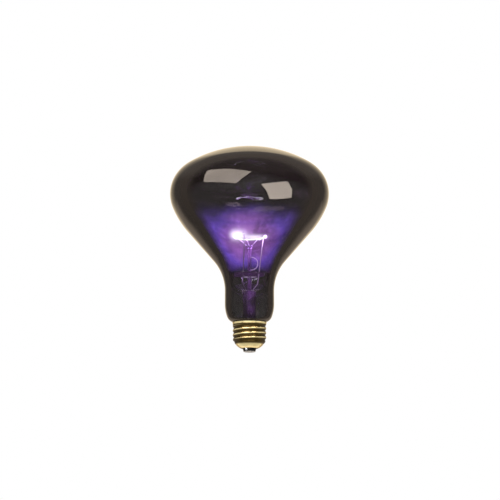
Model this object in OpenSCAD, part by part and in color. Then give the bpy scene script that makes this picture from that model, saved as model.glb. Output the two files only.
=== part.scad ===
// Lit black light reflector lamp. Millimetres, axis on Z, screw base down,
// origin at the lowest point of the centre contact. -Y is the side that the photo shows.

/* [Glass bulb] */
// Greatest diameter of the bulb
bulb_d = 127; // [120:0.5:134]
// Radius of the domed face
face_r = 96; // [88:1:120]
// Radius of the rim above the widest ring
rim_r = 25.5; // [22:0.5:28]
// Radius of the shoulder below the widest ring
shoulder_r = 28; // [24:0.5:34]
// Turn of the shoulder, in degrees
shoulder_turn = 23.5; // [18:0.5:28]
// Radius of the bulged flank
flank_r = 73; // [65:1:85]
// Slope of the cone against the axis, in degrees
cone_angle = 41; // [39:0.5:43]
// Radius of the hollow sweep from the cone into the neck
sweep_r = 37; // [32:1:42]
// Diameter of the neck
neck_d = 38.8; // [37:0.1:41]
// Straight length of the neck, which sets the length of the lamp
neck_len = 10.2; // [8:0.1:14]
// Radius of the slow curve at the foot of the neck
neck_end_r = 29; // [24:1:34]
// Turn of that slow curve, in degrees
neck_turn = 20; // [14:1:24]
// Slope at which the glass meets the base, in degrees
seat_turn = 70; // [60:1:75]
// Diameter of the glass tail inside the base
tail_d = 22.4; // [21.6:0.1:22.8]
// Height of the seal between tail and flare
seal_z = 15.5; // [15:0.1:17]
// Wall of the blown glass
glass_t = 1.1; // [0.8:0.05:1.4]

/* [Screw base] */
// Diameter over the thread crests
thread_d = 26.3; // [26:0.05:26.6]
// Depth of the rolled thread
thread_depth = 0.7; // [0.4:0.05:0.85]
// Rise of the thread in one turn
thread_pitch = 3.629; // [3:0.001:4.2]
// Height of the lowest crest at +X
crest_z = 7.9; // [7:0.1:10]
// Height of the shell's rim
base_h = 23.2; // [22.6:0.1:24]
// Diameter over the rim's bead
rim_bead_d = 27; // [26.8:0.1:27.4]
// Wall of the brass shell
shell_t = 0.3; // [0.2:0.05:0.4]
// Radius of the shell's rounded foot
foot_r = 9; // [8.6:0.1:9.6]
// Height at which the foot's curve starts
foot_top_z = 11.4; // [11.2:0.1:11.8]
// Diameter of the hole in the shell's foot
lip_d = 14; // [13.4:0.1:14.8]

/* [Insulator and contact] */
// Diameter of the centre contact
contact_d = 9.5; // [8.6:0.1:10]
// Thickness of the contact disc
contact_t = 0.55; // [0.4:0.05:0.7]
// Height of the solder under the contact
solder_h = 0.45; // [0.3:0.05:0.6]
// Diameter of the flat on the solder
solder_flat_d = 4; // [3:0.1:6]
// Outside diameter of the eyelet barrel
barrel_d = 2.3; // [2:0.1:3]
// Wall of the eyelet barrel
barrel_t = 0.4; // [0.3:0.05:0.5]
// Length of the eyelet barrel
barrel_len = 4; // [3:0.1:5]
// Height of the insulator's top inside the shell
insulator_top_z = 6.6; // [6.2:0.1:7.2]

/* [Stem] */
// Diameter of the stem tube
stem_d = 10; // [9.4:0.1:11]
// Wall of the flare and of the stem tube
stem_t = 1; // [0.8:0.05:1.2]
// Thickness of the flattened press
press_t = 4; // [3.4:0.1:5]
// Height at which the tube starts to flatten
press_z = 35; // [33:0.5:38]
// Height of the press's top
press_top_z = 48; // [46:0.5:52]
// Distance between the two lead wires in the press
lead_pitch = 6; // [5.6:0.1:6.2]
// Diameter of the exhaust tube
exhaust_d = 3.4; // [3:0.1:3.8]
// Wall of the exhaust tube
exhaust_t = 0.7; // [0.5:0.05:0.9]
// Height of the exhaust tube's sealed tip
exhaust_tip_z = 9.4; // [9:0.1:11]
// Diameter of the glass rod
rod_d = 3; // [2.6:0.1:3.4]
// Diameter of the shelf that carries the heat shield
shelf_d = 4.8; // [4.2:0.1:5.6]
// Height of the shelf
shelf_h = 1.4; // [1:0.1:2]
// Diameter of the button on the rod
button_d = 5.4; // [4.8:0.1:6.4]
// Height of the button
button_h = 3.4; // [2.8:0.1:4]
// Height of the middle of the button
button_z = 83.8; // [82:0.1:86]

/* [Heat shield] */
// Diameter of the shield
shield_d = 24; // [20:0.5:30]
// Thickness of the shield's sheet
shield_t = 0.4; // [0.3:0.05:0.6]
// Height of the shield's underside
shield_z = 61.8; // [60:0.1:64]
// Depth of the shield's turned edge
shield_edge = 1.5; // [1:0.1:2.5]
// Diameter of the holes that the leads pass through
lead_hole_d = 2.7; // [2.2:0.1:3.4]

/* [Filament] */
// Radius of the horseshoe
ring_r = 12.5; // [11.5:0.1:14]
// Height of the horseshoe
ring_z = 92; // [90:0.5:95]
// Angle that the horseshoe spans, in degrees
ring_span = 250; // [235:1:260]
// Outside diameter of the coil
coil_d = 1.4; // [1.2:0.05:1.6]
// Diameter of the coiled wire
filament_wire_d = 0.3; // [0.2:0.02:0.34]
// Turns of the coil
coil_turns = 66; // [50:1:70]

/* [Wires] */
// Diameter of the lead wires above the press
lead_d = 0.8; // [0.6:0.05:0.9]
// Diameter of the seal wires in the press
seal_wire_d = 0.5; // [0.4:0.05:0.6]
// Diameter of the hooks that hold the filament
support_d = 0.36; // [0.25:0.01:0.45]
// Diameter of the wire to the contact
contact_wire_d = 0.4; // [0.3:0.05:0.5]
// Diameter of the wire to the shell
shell_wire_d = 0.3; // [0.24:0.01:0.32]
// Outside diameter of the fuse's glass sleeve
sleeve_d = 1.8; // [1.5:0.05:2]
// Length of the fuse's glass sleeve
sleeve_len = 8; // [5:0.5:10]
// Radius of the loop of wire at the rod's side
loop_r = 5.1; // [4:0.1:6]
// Diameter of the loop's wire
loop_wire_d = 0.6; // [0.4:0.02:0.7]

/* [Fits] */
// Clearance between pieces that seat on each other
seat_gap = 0.06; // [0.04:0.01:0.08]
// Clearance round a wire that is fused into glass
fused_gap = 0.02; // [0.01:0.01:0.04]
// Gap between the shell's rim and the glass
rim_gap = 0.7; // [0.65:0.05:0.9]

/* [Hidden] */
$fn = 72;

// Degrees between the points of an outline's arcs
arc_step = 4;

bulb_r = bulb_d / 2;
neck_r = neck_d / 2;
tail_r = tail_d / 2;
crest_r = thread_d / 2;
root_r = crest_r - thread_depth;
bead_r = rim_bead_d / 2;
contact_r = contact_d / 2;
stem_r = stem_d / 2;
rod_r = rod_d / 2;
button_r = button_d / 2;
exhaust_r = exhaust_d / 2;
lead_r = lead_d / 2;
support_r = support_d / 2;
lead_x = lead_pitch / 2;

// Unit normal of an outline at an angle from +Z
function normal(a) = [sin(a), cos(a)];

// Points of an arc between two normals; a negative radius gives a hollow arc
function arc(centre, r, a0, a1) =
    let (n = max(1, ceil(abs(a1 - a0) / arc_step)))
    [for (i = [0 : n]) centre + r * normal(a0 + (a1 - a0) * i / n)];

// Rises smoothly from 0 at low to 1 at high
function ease(v, low, high) =
    let (t = min(1, max(0, (v - low) / (high - low))))
    t * t * (3 - 2 * t);

// Centres of the arcs at the foot of the neck, from the base up
foot_turn = 90 + neck_turn;
foot_end = 90 + seat_turn;
seat_r = (neck_r - bead_r - neck_end_r * (1 - sin(foot_turn))) / (sin(foot_turn) - sin(foot_end));
seat_p = [bead_r, base_h + rim_gap];
seat_c = seat_p - seat_r * normal(foot_end);
neck_end_c = seat_c - (neck_end_r - seat_r) * normal(foot_turn);
tail_curve_r = (seat_p[0] - tail_r) / (1 - sin(foot_end));
tail_c = seat_p + tail_curve_r * normal(foot_end);

// Centres of the arcs over the straight neck, up to the crown
cone_end = 90 + cone_angle;
shoulder_end = 90 + shoulder_turn;
sweep_c = [neck_r + sweep_r, neck_end_c[1] + neck_len];
sweep_top = sweep_c - sweep_r * normal(cone_end);
flank_x = bulb_r - shoulder_r - (flank_r - shoulder_r) * normal(shoulder_end)[0];
cone_len = (flank_x + flank_r * cos(cone_angle) - sweep_top[0]) / sin(cone_angle);
flank_c = [flank_x, sweep_top[1] + cone_len * cos(cone_angle) + flank_r * sin(cone_angle)];
shoulder_c = flank_c + (flank_r - shoulder_r) * normal(shoulder_end);
rim_c = [bulb_r - rim_r, shoulder_c[1]];
face_end = asin(rim_c[0] / (face_r - rim_r));
face_c = rim_c - (face_r - rim_r) * normal(face_end);

// The bulb's outline from the crown to the seal, set in by a wall
function bulb_outline(wall) = concat(
    arc(face_c, face_r - wall, 0, face_end),
    arc(rim_c, rim_r - wall, face_end, 90),
    arc(shoulder_c, shoulder_r - wall, 90, shoulder_end),
    arc(flank_c, flank_r - wall, shoulder_end, cone_end),
    arc(sweep_c, -sweep_r - wall, cone_end, 90),
    arc(neck_end_c, neck_end_r - wall, 90, foot_turn),
    arc(seat_c, seat_r - wall, foot_turn, foot_end),
    arc(tail_c, -tail_curve_r - wall, foot_end, 90),
    [[tail_r - wall, seal_z]]);

function backwards(list) = [for (i = [len(list) - 1 : -1 : 0]) list[i]];

function unit(v) = v / norm(v);

// Skin of a tube of rings, with its two flat ends
function tube_faces(rings, sides) = concat(
    [for (k = [0 : rings - 2]) for (s = [0 : sides - 1])
     let (n = (s + 1) % sides, low = k * sides, high = low + sides)
     each [[low + s, high + s, high + n], [low + s, high + n, low + n]]],
    [[for (s = [0 : sides - 1]) s]],
    [[for (s = [sides - 1 : -1 : 0]) (rings - 1) * sides + s]]);

// Bent round wire through points; no stretch of it runs along the side direction
module bent_wire(points, r, side) {
    last = len(points) - 1;
    sides = 8;
    skin = [for (i = [0 : last])
            let (t = unit(points[min(i + 1, last)] - points[max(i - 1, 0)]),
                 u = unit(cross(side, t)),
                 v = cross(t, u))
            for (s = [0 : sides - 1])
            let (b = 360 * s / sides)
            points[i] + r * (cos(b) * u + sin(b) * v)];
    polyhedron(skin, tube_faces(last + 1, sides));
}

// A route with each corner cut and bent round
function rounded(route, cut) = concat(
    [route[0]],
    [for (i = [1 : len(route) - 2])
     let (p = route[i],
          back = unit(route[i - 1] - p) * cut,
          on = unit(route[i + 1] - p) * cut)
     each [p + back, p + (back + on) / 4, p + on]],
    [route[len(route) - 1]]);

// Straight round rod between two points
module rod(from, to, r) {
    d = to - from;
    translate(from)
    rotate([0, acos(d[2] / norm(d)), atan2(d[1], d[0])])
    cylinder(h = norm(d), r = r);
}

module envelope() {
    color([0.16, 0.09, 0.28])
    rotate_extrude()
    polygon(concat(bulb_outline(0), backwards(bulb_outline(glass_t))));
}

// The shell's foot curve ends where it meets the lip's hole
lip_r = lip_d / 2;
lip_z = foot_top_z - sqrt(pow(foot_r, 2) - pow(lip_r - root_r + foot_r, 2));
lip_in_r = root_r - foot_r + sqrt(pow(foot_r - shell_t, 2) - pow(foot_top_z - lip_z, 2));

// Rise of the thread at the foot, its fade into the skirt and the start of the rim's bead, in turns
thread_rise_shares = [-0.65, 0.15];
thread_fade_shares = [-0.83, -0.3];
bead_share = -0.3;
thread_start_z = crest_z + thread_rise_shares[0] * thread_pitch;
thread_full_z = crest_z + thread_rise_shares[1] * thread_pitch;
thread_fade_z = base_h + thread_fade_shares[0] * thread_pitch;
thread_gone_z = base_h + thread_fade_shares[1] * thread_pitch;
bead_z = base_h + bead_share * thread_pitch;

// The skirt above the thread is as wide as its crests
skirt_r = crest_r;

// Rings of the shell and points round each ring
shell_rows = 44;
shell_cols = 36;

// Radius of the shell at a height and an angle, set in by its wall
function shell_r(z, a, wall) =
    let (foot = root_r - foot_r + sqrt(pow(foot_r - wall, 2) - pow(max(0, foot_top_z - z), 2)),
         skirt = ease(z, thread_fade_z, thread_gone_z),
         thread = ease(z, thread_start_z, thread_full_z) * (1 - skirt),
         wave = 0.5 + 0.5 * cos(360 * (z - crest_z) / thread_pitch - a))
    foot + skirt * (skirt_r - root_r) + ease(z, bead_z, base_h) * (bead_r - skirt_r)
    + thread_depth * thread * wave;

function shell_points(wall) =
    [for (i = [0 : shell_rows])
     for (j = [0 : shell_cols - 1])
     let (z = lip_z + (base_h - lip_z) * i / shell_rows,
          a = 360 * j / shell_cols,
          r = shell_r(z, a, wall))
     [r * cos(a), r * sin(a), z]];

module screw_shell() {
    count = (shell_rows + 1) * shell_cols;
    function at(i, j) = i * shell_cols + j % shell_cols;
    function quad(a, b, c, d) = [[a, b, c], [a, c, d]];
    outside = [for (i = [0 : shell_rows - 1]) for (j = [0 : shell_cols - 1])
               each quad(at(i, j), at(i + 1, j), at(i + 1, j + 1), at(i, j + 1))];
    inside = [for (i = [0 : shell_rows - 1]) for (j = [0 : shell_cols - 1])
              each quad(count + at(i, j + 1), count + at(i + 1, j + 1),
                        count + at(i + 1, j), count + at(i, j))];
    lip = [for (j = [0 : shell_cols - 1])
           each quad(at(0, j), at(0, j + 1), count + at(0, j + 1), count + at(0, j))];
    rim = [for (j = [0 : shell_cols - 1])
           each quad(count + at(shell_rows, j), count + at(shell_rows, j + 1),
                     at(shell_rows, j + 1), at(shell_rows, j))];
    color([0.80, 0.66, 0.34])
    polyhedron(concat(shell_points(0), shell_points(shell_t)), concat(outside, inside, lip, rim));
}

// The cement fills the ring between the tail of the glass and the shell
cement_low_z = seal_z + seat_gap;
cement_in_r = tail_r + seat_gap;
cement_root_r = root_r - shell_t - 2 * seat_gap;
cement_skirt_r = skirt_r - shell_t - 2 * seat_gap;
cement_curve_r = tail_curve_r - seat_gap;
cement_end = 180 - asin((tail_c[0] - cement_skirt_r) / cement_curve_r);

// The shell's wire climbs in a slot through the cement at the back
shell_wire_r = shell_wire_d / 2;
shell_wire_y = (cement_in_r + cement_root_r) / 2;
wire_slot_w = shell_wire_d + 2 * seat_gap;

module basing_cement() {
    color([0.78, 0.75, 0.70])
    difference() {
        rotate_extrude()
        polygon(concat(
            [[cement_in_r, cement_low_z]],
            arc(tail_c, -cement_curve_r, 90, cement_end),
            [[cement_skirt_r, thread_gone_z],
             [cement_root_r, thread_fade_z],
             [cement_root_r, cement_low_z]]));
        translate([-wire_slot_w / 2, 0, 0]) cube([wire_slot_w, bead_r, base_h + rim_gap]);
    }
}

// Heights of the contact and of the insulator that stands on it
contact_z = solder_h;
insulator_z = contact_z + contact_t;
barrel_r = barrel_d / 2;
insulator_lip_r = lip_in_r - 2 * seat_gap;
insulator_flange_z = lip_z + shell_t + 2 * seat_gap;

// Inside of the shell's foot at a height, less room for the insulator
function foot_seat(z) = shell_r(z, 0, shell_t) * cos(180 / shell_cols) - 2 * seat_gap;

// How far the insulator's side is hollowed, as a share of its slant
hollow_share = 0.12;

module base_insulator() {
    low = [contact_r + seat_gap, insulator_z];
    high = [insulator_lip_r, lip_z - seat_gap];
    outwards = [high[1] - low[1], low[0] - high[0]];
    steps = 6;
    side = [for (i = [0 : steps])
            let (t = i / steps)
            low + (high - low) * t - 4 * t * (1 - t) * hollow_share * outwards];
    color([0.05, 0.05, 0.05])
    rotate_extrude()
    polygon(concat(
        [[barrel_r + seat_gap, insulator_z]],
        side,
        [[insulator_lip_r, insulator_flange_z],
         [foot_seat(insulator_flange_z), insulator_flange_z],
         [foot_seat(insulator_top_z), insulator_top_z],
         [barrel_r + seat_gap, insulator_top_z]]));
}

module centre_contact() {
    color([0.85, 0.84, 0.80])
    difference() {
        union() {
            translate([0, 0, contact_z]) cylinder(h = contact_t, r = contact_r);
            translate([0, 0, contact_z]) cylinder(h = contact_t + barrel_len, r = barrel_r);
        }
        cylinder(h = insulator_top_z, r = barrel_r - barrel_t);
    }
}

// How much of the contact the solder covers
solder_share = 0.9;

module contact_solder() {
    plug_r = barrel_r - barrel_t - fused_gap;
    plug_z = solder_h + contact_t;
    dome_r = contact_r * solder_share;
    flat_r = solder_flat_d / 2;
    steps = 6;
    dome = [for (i = [0 : steps])
            let (t = 90 * i / steps)
            [flat_r + (dome_r - flat_r) * sin(t), solder_h * (1 - cos(t))]];
    color([0.86, 0.86, 0.85])
    rotate_extrude()
    polygon(concat([[0, 0]], dome, [[plug_r, solder_h], [plug_r, plug_z], [0, plug_z]]));
}

// The side solder sits on the rim at the back, over the end of the shell's wire: its radius as a
// share of the rim's gap and the thread, and its place out from and below the rim, in its radii
side_solder_share = 0.57;
side_solder_place_shares = [0.25, 0.33];
side_solder_r = side_solder_share * (rim_gap + thread_depth);

module side_solder() {
    color([0.75, 0.75, 0.74])
    difference() {
        translate([0, bead_r + side_solder_place_shares[0] * side_solder_r,
                   base_h - side_solder_place_shares[1] * side_solder_r])
        sphere(r = side_solder_r);
        cylinder(h = base_h + seat_gap, r = bead_r + seat_gap);
        rod(shell_wire_route[6], shell_wire_route[7], shell_wire_r + fused_gap);
    }
}

// The flare's curve is centred outside the stem tube
flare_r = tail_r - glass_t - stem_r;
flare_c = [stem_r + flare_r, seal_z + flare_r];
stem_in_r = stem_r - stem_t;
// The tube's closed top: its drop, the edge of its flat and the depth of its corner, in walls
ceiling_shares = [0.5, 0.7, 1.5];
ceiling_z = press_z - ceiling_shares[0] * stem_t;
ceiling_r = exhaust_r + ceiling_shares[1] * stem_t;
// Height over which the tube flattens into the press, in its radii
flatten_share = 1.2;
flatten_z = press_z + flatten_share * stem_r;
// Depth of the seal wires' lower ends under the press, in their distances
weld_share = 0.67;
weld_z = press_z - weld_share * lead_pitch;
// Height of the seal wires' upper ends, where the leads start
socket_z = press_top_z - 2 * lead_d;
vent_r = exhaust_r - exhaust_t;
// Width of the hole blown out of the press, as a share of the exhaust tube's bore
blown_share = 0.8;

module stem_flare() {
    color([0.72, 0.74, 0.78])
    difference() {
        union() {
            rotate_extrude()
            polygon(concat(
                [[tail_r, seal_z - stem_t], [tail_r, seal_z]],
                arc(flare_c, flare_r, 180, 270),
                [[stem_r, press_z], [press_t / 2, flatten_z], [0, flatten_z],
                 [0, ceiling_z], [ceiling_r, ceiling_z],
                 [stem_in_r, ceiling_z - ceiling_shares[2] * stem_t]],
                backwards(arc(flare_c, flare_r + stem_t, 180, 270))));
            translate([0, 0, press_z]) press_blade();
        }
        for (x = [-lead_x, lead_x]) {
            translate([x, 0, weld_z])
            cylinder(h = press_top_z - weld_z, r = seal_wire_d / 2 + fused_gap);
            translate([x, 0, socket_z])
            cylinder(h = press_top_z, r = lead_r + fused_gap);
        }
        translate([0, 0, press_z - stem_t]) cylinder(h = stem_t + vent_r * 2, r = vent_r);
        translate([0, 0, press_z + vent_r]) rotate([-90, 0, 0])
        cylinder(h = stem_r, r = blown_share * vent_r);
    }
}

// Flattened glass of the press, with round edges
module press_blade() {
    blade_h = press_top_z - press_z;
    edge_x = stem_r - press_t / 2;
    translate([-edge_x, -press_t / 2, 0]) cube([2 * edge_x, press_t, blade_h]);
    for (x = [-edge_x, edge_x])
        translate([x, 0, 0]) cylinder(h = blade_h, r = press_t / 2);
}

// The exhaust tube's drawn tip: its blunt end in radii, that end's rise in walls, and the wall's
// thickness at the tip in diameters
tip_shares = [0.33, 0.25, 0.33];

module exhaust_tube() {
    tip_top_z = exhaust_tip_z + exhaust_d;
    color([0.72, 0.74, 0.78])
    rotate_extrude()
    polygon([
        [0, exhaust_tip_z],
        [tip_shares[0] * exhaust_r, exhaust_tip_z + tip_shares[1] * exhaust_t],
        [exhaust_r, tip_top_z], [exhaust_r, ceiling_z], [vent_r, ceiling_z],
        [vent_r, tip_top_z], [0, exhaust_tip_z + tip_shares[2] * exhaust_d]]);
}

// Point at an azimuth, a radius and a height
function around(a, r, z) = [r * cos(a), r * sin(a), z];

// A hook's wire runs straight to the coil, touches it and goes round it
coil_r = coil_d / 2;
hook_turn = 270;
hook_steps = 9;
function hook_r(r) = coil_r + seat_gap + r;

// Where a wire of radius r that comes from a point meets its hook, as an angle from +radial
function hook_from(radius, z, r) =
    let (across = ring_r - radius, up = ring_z - z)
    90 + atan2(up, across) + asin(hook_r(r) / norm([across, up]));

// Points of a hook at an azimuth, from the angle at which its wire meets it
function hook_points(azimuth, r, from) =
    [for (i = [0 : hook_steps])
     let (t = from - hook_turn * i / hook_steps)
     around(azimuth, ring_r + hook_r(r) * cos(t), ring_z + hook_r(r) * sin(t))];

// The hooks are rooted in the button, at a share of its radius
root_share = 0.55;
support_azimuths = [50, 100, 150, 200];
support_root_r = root_share * button_r;
function support_points(a) = concat(
    [around(a, support_root_r, button_z)],
    hook_points(a, support_r, hook_from(support_root_r, button_z, support_r)));

module support(a) {
    color([0.66, 0.66, 0.68])
    bent_wire(support_points(a), support_r, around(a + 90, 1, 0));
}

module support_back_right() support(support_azimuths[0]);
module support_back() support(support_azimuths[1]);
module support_back_left() support(support_azimuths[2]);
module support_left() support(support_azimuths[3]);

// The loop of wire at the rod's side is rooted in the rod at both ends: its height above the
// shield in its radii, and where its roots end in the rod's radii
loop_rise_share = 0.65;
loop_root_share = 0.33;
loop_low_z = shield_z + loop_rise_share * loop_r;
loop_z = loop_low_z + loop_r;

module loop_wire(r) {
    translate([rod_r, 0, loop_z])
    rotate([90, 0, 0])
    rotate([0, 0, -90])
    rotate_extrude(angle = 180)
    translate([loop_r, 0]) circle(r = r);
    for (z = [loop_low_z, loop_low_z + 2 * loop_r])
        rod([loop_root_share * rod_r, 0, z], [rod_r, 0, z], r);
}

module tie_loop() {
    color([0.66, 0.66, 0.68]) loop_wire(loop_wire_d / 2);
}

module arbor_rod() {
    steps = 8;
    shelf_r = shelf_d / 2;
    button = [for (i = [1 : steps])
              let (t = 180 * i / steps - 90)
              if (button_r * cos(t) > rod_r || t > 0)
              [button_r * cos(t), button_z + button_h / 2 * sin(t)]];
    color([0.72, 0.74, 0.78])
    difference() {
        rotate_extrude()
        polygon(concat(
            [[0, press_top_z], [rod_r, press_top_z], [rod_r, shield_z - shelf_h],
             [shelf_r, shield_z - shelf_h / 2], [shelf_r, shield_z], [rod_r, shield_z],
             [rod_r, button_z - button_h / 2]],
            button,
            [[0, button_z + button_h / 2]]));
        for (a = support_azimuths)
            rod(support_points(a)[0], support_points(a)[1], support_r + fused_gap);
        loop_wire(loop_wire_d / 2 + fused_gap);
    }
}

// The leads spread out over the press and turn up to the filament: the rise of the spread in lead
// distances, and its radius and the drop of the last bend below the horseshoe in its radii
spread_rise_share = 0.7;
spread_share = 0.51;
turn_drop_share = 0.6;
bend_z = press_top_z + 2 * lead_d;
spread_z = bend_z + spread_rise_share * lead_pitch;
turn_z = ring_z - turn_drop_share * ring_r;

// Degrees from the filament's ends to the leads' hooks, and the left lead's swing above the press
end_angle = 2;
left_swing = 33;
right_azimuth = end_angle;
left_azimuth = ring_span - end_angle;

function lead_route(side, azimuth, swing, turn) =
    [[side * lead_x, 0, socket_z + fused_gap],
     [side * lead_x, 0, bend_z],
     around(azimuth - swing, spread_share * ring_r, spread_z),
     around(azimuth, turn * ring_r, turn_z)];

// The lead's route and hook; the last straight stretch runs on to the coil
function lead_points(route, azimuth, turn) =
    let (hook = hook_points(azimuth, lead_r, hook_from(turn * ring_r, turn_z, lead_r)),
         bent = rounded(concat(route, [hook[0]]), lead_d))
    concat([for (i = [0 : len(bent) - 2]) bent[i]], hook);

// Radius of each lead's last bend, as a share of the horseshoe's
right_turn_share = 0.81;
left_turn_share = 0.87;
right_route = lead_route(1, right_azimuth, 0, right_turn_share);
left_route = lead_route(-1, left_azimuth, left_swing, left_turn_share);

module right_lead() {
    color([0.62, 0.61, 0.60])
    bent_wire(lead_points(right_route, right_azimuth, right_turn_share), lead_r,
              around(right_azimuth + 90, 1, 0));
}

module left_lead() {
    color([0.62, 0.61, 0.60])
    bent_wire(lead_points(left_route, left_azimuth, left_turn_share), lead_r,
              around(left_azimuth + 90, 1, 0));
}

// Where a straight stretch of wire passes a height
function crossing(from, to, z) = from + (to - from) * (z - from[2]) / (to[2] - from[2]);

// The shield lies on the rod's shelf, and the leads pass it through wide holes
module heat_shield() {
    shield_r = shield_d / 2;
    lead_hole_r = lead_hole_d / 2;
    color([0.74, 0.74, 0.72])
    difference() {
        rotate_extrude()
        polygon([
            [rod_r + seat_gap, shield_z], [shield_r - shield_t, shield_z],
            [shield_r - shield_t, shield_z - shield_edge + shield_t],
            [shield_r, shield_z - shield_edge + shield_t],
            [shield_r, shield_z + shield_t], [rod_r + seat_gap, shield_z + shield_t]]);
        for (route = [right_route, left_route])
            translate(crossing(route[2], route[3], shield_z) - [0, 0, shield_t])
            cylinder(h = 3 * shield_t, r = lead_hole_r);
    }
}

module seal_wire(side) {
    color([0.70, 0.45, 0.32])
    translate([side * lead_x, 0, weld_z])
    cylinder(h = socket_z - weld_z, r = seal_wire_d / 2);
}

module right_seal_wire() seal_wire(1);
module left_seal_wire() seal_wire(-1);

// The contact's wire runs down the stem, under the exhaust tip and into the eyelet
contact_wire_r = contact_wire_d / 2;
contact_wire_route = [
    [-lead_x, 0, weld_z],
    [-lead_x, 0, exhaust_tip_z + exhaust_d],
    [0, 0, exhaust_tip_z - 2 * contact_wire_d - exhaust_r / 2],
    [0, 0, insulator_z + fused_gap]];

// The shell's wire runs down the stem, round to the back, up through the cement and over the rim
mouth_z = seal_z - stem_t - 4 * shell_wire_d;
// Where the wire bends towards the back, and its height over the rim in the gap above it
wire_bend_share = 0.4;
rim_pass_share = 0.31;
rim_pass_z = base_h + rim_pass_share * rim_gap;
// A direction that no stretch of the wire follows
shell_wire_side = [1, 0.2, 0.1];
shell_wire_route = [
    [lead_x, 0, weld_z],
    [lead_x, 0, mouth_z],
    [lead_x, wire_bend_share * shell_wire_y, mouth_z - 2 * shell_wire_d],
    [0, shell_wire_y, mouth_z],
    [0, shell_wire_y, tail_c[1]],
    [0, (shell_wire_y + cement_skirt_r) / 2, base_h - rim_gap],
    [0, cement_skirt_r + seat_gap, rim_pass_z],
    [0, bead_r + side_solder_r / 2, rim_pass_z]];

module contact_wire() {
    color([0.72, 0.45, 0.30])
    bent_wire(rounded(contact_wire_route, contact_wire_d), contact_wire_r, [0, 1, 0]);
}

module shell_wire() {
    color([0.72, 0.45, 0.30])
    bent_wire(rounded(shell_wire_route, shell_wire_d), shell_wire_r, shell_wire_side);
}

module fuse_sleeve() {
    sleeve_z = seal_z + stem_t;
    color([0.80, 0.82, 0.85])
    translate([-lead_x, 0, sleeve_z])
    difference() {
        cylinder(h = sleeve_len, r = sleeve_d / 2);
        translate([0, 0, -sleeve_len])
        cylinder(h = 3 * sleeve_len, r = contact_wire_r + 2 * seat_gap);
    }
}

// The coil's wire winds along the horseshoe; every turn has the same few flat lengths
module filament() {
    turn_steps = 8;
    sides = 5;
    wire_r = filament_wire_d / 2;
    mean_r = coil_r - wire_r;
    steps = coil_turns * turn_steps;
    points = [for (k = [0 : steps])
              let (p = ring_span * k / steps,
                   a = 360 * k / turn_steps,
                   out = [cos(p), sin(p), 0],
                   along = [-sin(p), cos(p), 0],
                   lift = out * cos(a) + [0, 0, sin(a)])
              for (s = [0 : sides - 1])
              let (b = 360 * s / sides)
              ring_r * out + [0, 0, ring_z] + (mean_r + wire_r * cos(b)) * lift
              + wire_r * sin(b) * along];
    color([0.98, 0.90, 0.70])
    polyhedron(points, tube_faces(steps + 1, sides));
}

envelope();
screw_shell();
basing_cement();
base_insulator();
centre_contact();
contact_solder();
side_solder();
stem_flare();
exhaust_tube();
arbor_rod();
heat_shield();
right_lead();
left_lead();
right_seal_wire();
left_seal_wire();
contact_wire();
fuse_sleeve();
shell_wire();
filament();
support_back_right();
support_back();
support_back_left();
support_left();
tie_loop();
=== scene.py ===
"""Looks of a lit black light reflector lamp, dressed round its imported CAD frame.

Blender works in metres with +Z up, and the lamp's sizes below are in millimetres. The lamp keeps its
own frame: screw base down, contact at the origin, and the open side of the filament towards -Y,
where the camera stands.
"""

import math

import bmesh
import bpy
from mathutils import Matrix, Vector


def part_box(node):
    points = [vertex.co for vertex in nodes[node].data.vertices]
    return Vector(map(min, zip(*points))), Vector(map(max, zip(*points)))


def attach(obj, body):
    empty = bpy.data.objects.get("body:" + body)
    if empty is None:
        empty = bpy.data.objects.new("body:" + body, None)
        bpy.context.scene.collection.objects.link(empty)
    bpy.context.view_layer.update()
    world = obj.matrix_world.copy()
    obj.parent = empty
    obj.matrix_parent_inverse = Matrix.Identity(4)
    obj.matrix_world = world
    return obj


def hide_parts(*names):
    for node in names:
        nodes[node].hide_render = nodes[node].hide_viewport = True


MM = 0.001

# Bulb: the arcs of its outline, from the crown down
FACE_R = 96
RIM_R = 25.5
SHOULDER_R = 28
SHOULDER_TURN = 23.5
FLANK_R = 73
CONE_ANGLE = 41
SWEEP_R = 37
NECK_R = 19.4
NECK_END_R = 29
NECK_TURN = 20
SEAT_TURN = 70
TAIL_R = 11.2
GLASS_T = 1.1
RIM_GAP = 0.7

# Screw shell
THREAD_R = 13.15
THREAD_DEPTH = 0.7
THREAD_PITCH = 3.629
CREST_Z = 7.9
BASE_H = 23.2
BEAD_R = 13.5
SHELL_T = 0.3
FOOT_R = 9
FOOT_TOP_Z = 11.4
LIP_R = 7
ROOT_R = THREAD_R - THREAD_DEPTH
THREAD_START_Z = CREST_Z - 0.65 * THREAD_PITCH
THREAD_FULL_Z = CREST_Z + 0.15 * THREAD_PITCH
THREAD_FADE_Z = BASE_H - 0.83 * THREAD_PITCH
THREAD_GONE_Z = BASE_H - 0.3 * THREAD_PITCH
BEAD_Z = BASE_H - 0.3 * THREAD_PITCH

# Insulator and contact
CONTACT_R = 4.75
CONTACT_Z = 0.45
CONTACT_T = 0.55
SOLDER_R = 4.275
SOLDER_FLAT_R = 2
BARREL_R = 1.15
BARREL_T = 0.4
INSULATOR_TOP_Z = 6.6
INSULATOR_LEDGE = 0.9
INSULATOR_HOLLOW = 0.12
INSULATOR_EDGE_R = 0.12
CONTACT_EDGE_R = 0.1
SEAT_GAP = 0.06
FUSED_GAP = 0.02

# Rod that carries the filament
ROD_R = 1.5
PRESS_TOP_Z = 48
SHELF_R = 2.4
SHELF_H = 1.4
SHIELD_Z = 61.8
SHIELD_R = 12
BUTTON_R = 2.7
BUTTON_H = 3.4
BUTTON_Z = 83.8

# Filament
RING_R = 12.5
RING_Z = 92
RING_SPAN = 250
COIL_R = 0.7
FILAMENT_WIRE_R = 0.15
COIL_TURNS = 66

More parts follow.
